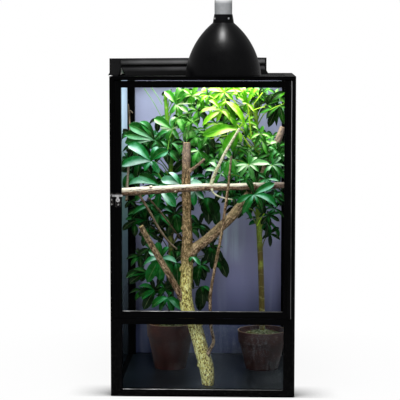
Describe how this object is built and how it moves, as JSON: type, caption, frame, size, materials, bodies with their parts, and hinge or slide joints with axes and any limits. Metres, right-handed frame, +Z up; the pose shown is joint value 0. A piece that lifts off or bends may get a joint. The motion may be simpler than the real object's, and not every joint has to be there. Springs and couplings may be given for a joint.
{
  "type": "terrarium",
  "caption": "Tall framed glass terrarium with hinged front door, mesh top, dome lamp, tube light, climbing branches and potted plants.",
  "frame": {"origin": "centre of the cabinet's footprint, on the surface that it stands on", "axes": "+X to the right seen from the door, +Y to the back, +Z up"},
  "size_m": [0.5173, 0.505, 1.0788],
  "materials": {
    "black_frame": "satin near-black powder coat on aluminium bars",
    "clear_glass": "clear float glass with a faint cool tint",
    "back_board": "smooth lavender-grey panel, softly streaked",
    "floor_board": "dark blue-black sheet with fine grit",
    "mesh": "fine black woven wire",
    "pin_steel": "plain steel",
    "latch_metal": "small nickel-plated fittings",
    "dome_paint": "soft black lacquer with a broad highlight",
    "collar_black": "black lacquer",
    "socket_grey": "light grey moulded housing",
    "ceramic_white": "unglazed lamp ceramic",
    "rubber_black": "soft black rubber",
    "bulb_glass": "pressed glass with a plated screw cap",
    "bar_black": "black lacquered sheet with a lighter sheen",
    "bar_white": "white lacquered sheet",
    "holder_white": "white moulded plastic",
    "tube_white": "white coated lamp tube",
    "bark": "rough bark, olive-yellow below and brown above",
    "pale_bark": "dry pale bark with knots",
    "pot_clay": "dark red-brown pot",
    "soil": "loose dark potting soil",
    "dark_leaves": "glossy dark green leaves on a green-brown stem",
    "bright_leaves": "glossy yellow-green leaves on a ringed stem"
  },
  "bodies": {
    "cabinet": {"front_left_post": "black_frame", "front_right_post": "black_frame", "back_left_post": "black_frame", "back_right_post": "black_frame", "bottom_front_rail": "black_frame", "bottom_back_rail": "black_frame", "bottom_left_rail": "black_frame", "bottom_right_rail": "black_frame", "top_front_rail": "black_frame", "top_back_rail": "black_frame", "top_left_rail": "black_frame", "top_right_rail": "black_frame", "middle_rail": "black_frame", "floor_brace": "black_frame", "floor_panel": "floor_board", "left_glass": "clear_glass", "right_glass": "clear_glass", "back_panel": "back_board", "lower_glass": "clear_glass", "lower_left_stile": "black_frame", "lower_right_stile": "black_frame", "screen_bars": "black_frame", "screen_mesh": "mesh", "hinge_post_leaf": "black_frame", "hinge_pin": "pin_steel", "latch_keeper": "latch_metal", "latch_keeper_screws": "latch_metal", "climbing_branch": "bark", "cross_branch": "pale_bark", "left_pot": "pot_clay", "left_soil": "soil", "left_plant": "dark_leaves", "right_pot": "pot_clay", "right_soil": "soil", "right_plant": "bright_leaves"},
    "door": {"door_left_stile": "black_frame", "door_right_stile": "black_frame", "door_top_rail": "black_frame", "door_bottom_rail": "black_frame", "door_glass": "clear_glass", "hinge_door_leaf": "black_frame", "latch_plate": "latch_metal", "latch_plate_screws": "latch_metal", "latch_rivet": "latch_metal"},
    "latch": {"latch_hook": "latch_metal"},
    "dome_lamp": {"dome_shell": "dome_paint", "dome_collar": "collar_black", "collar_rivets": "latch_metal", "lamp_socket": "socket_grey", "lampholder": "ceramic_white", "lamp_grommet": "rubber_black"},
    "bulb_body": {"bulb": "bulb_glass"},
    "tube_light": {"bar_housing": "bar_black", "bar_pan": "bar_white", "bar_front_wing": "bar_black", "bar_back_wing": "bar_black", "bar_left_cap": "bar_black", "bar_right_cap": "bar_black", "tube_holders": "holder_white"},
    "tube_body": {"tube": "tube_white"}
  },
  "joints": [
    {"name": "door_hinge", "type": "hinge", "parent": "cabinet", "child": "door", "pos_m": [0.239, -0.2526, 0.536], "axis": [0, 0, 1], "range_deg": [0, 170]},
    {"name": "latch_hook_turn", "type": "hinge", "parent": "door", "child": "latch", "pos_m": [-0.2283, -0.2518, 0.537], "axis": [0, 1, 0], "range_deg": [0, 80]},
    {"name": "dome_lamp_lift", "type": "slide", "parent": "cabinet", "child": "dome_lamp", "axis": [0, 0, 1], "range_m": [0, 0.3]},
    {"name": "bulb_unscrew", "type": "hinge", "parent": "dome_lamp", "child": "bulb_body", "pos_m": [0.053, -0.135, 0.96], "axis": [0, 0, 1], "continuous": true},
    {"name": "tube_light_lift", "type": "slide", "parent": "cabinet", "child": "tube_light", "axis": [0, 0, 1], "range_m": [0, 0.3]},
    {"name": "tube_turn", "type": "hinge", "parent": "tube_light", "child": "tube_body", "pos_m": [-0.04356, -0.01064, 0.882], "axis": [0.809, 0.5878, 0], "range_deg": [0, 90]}
  ]
}
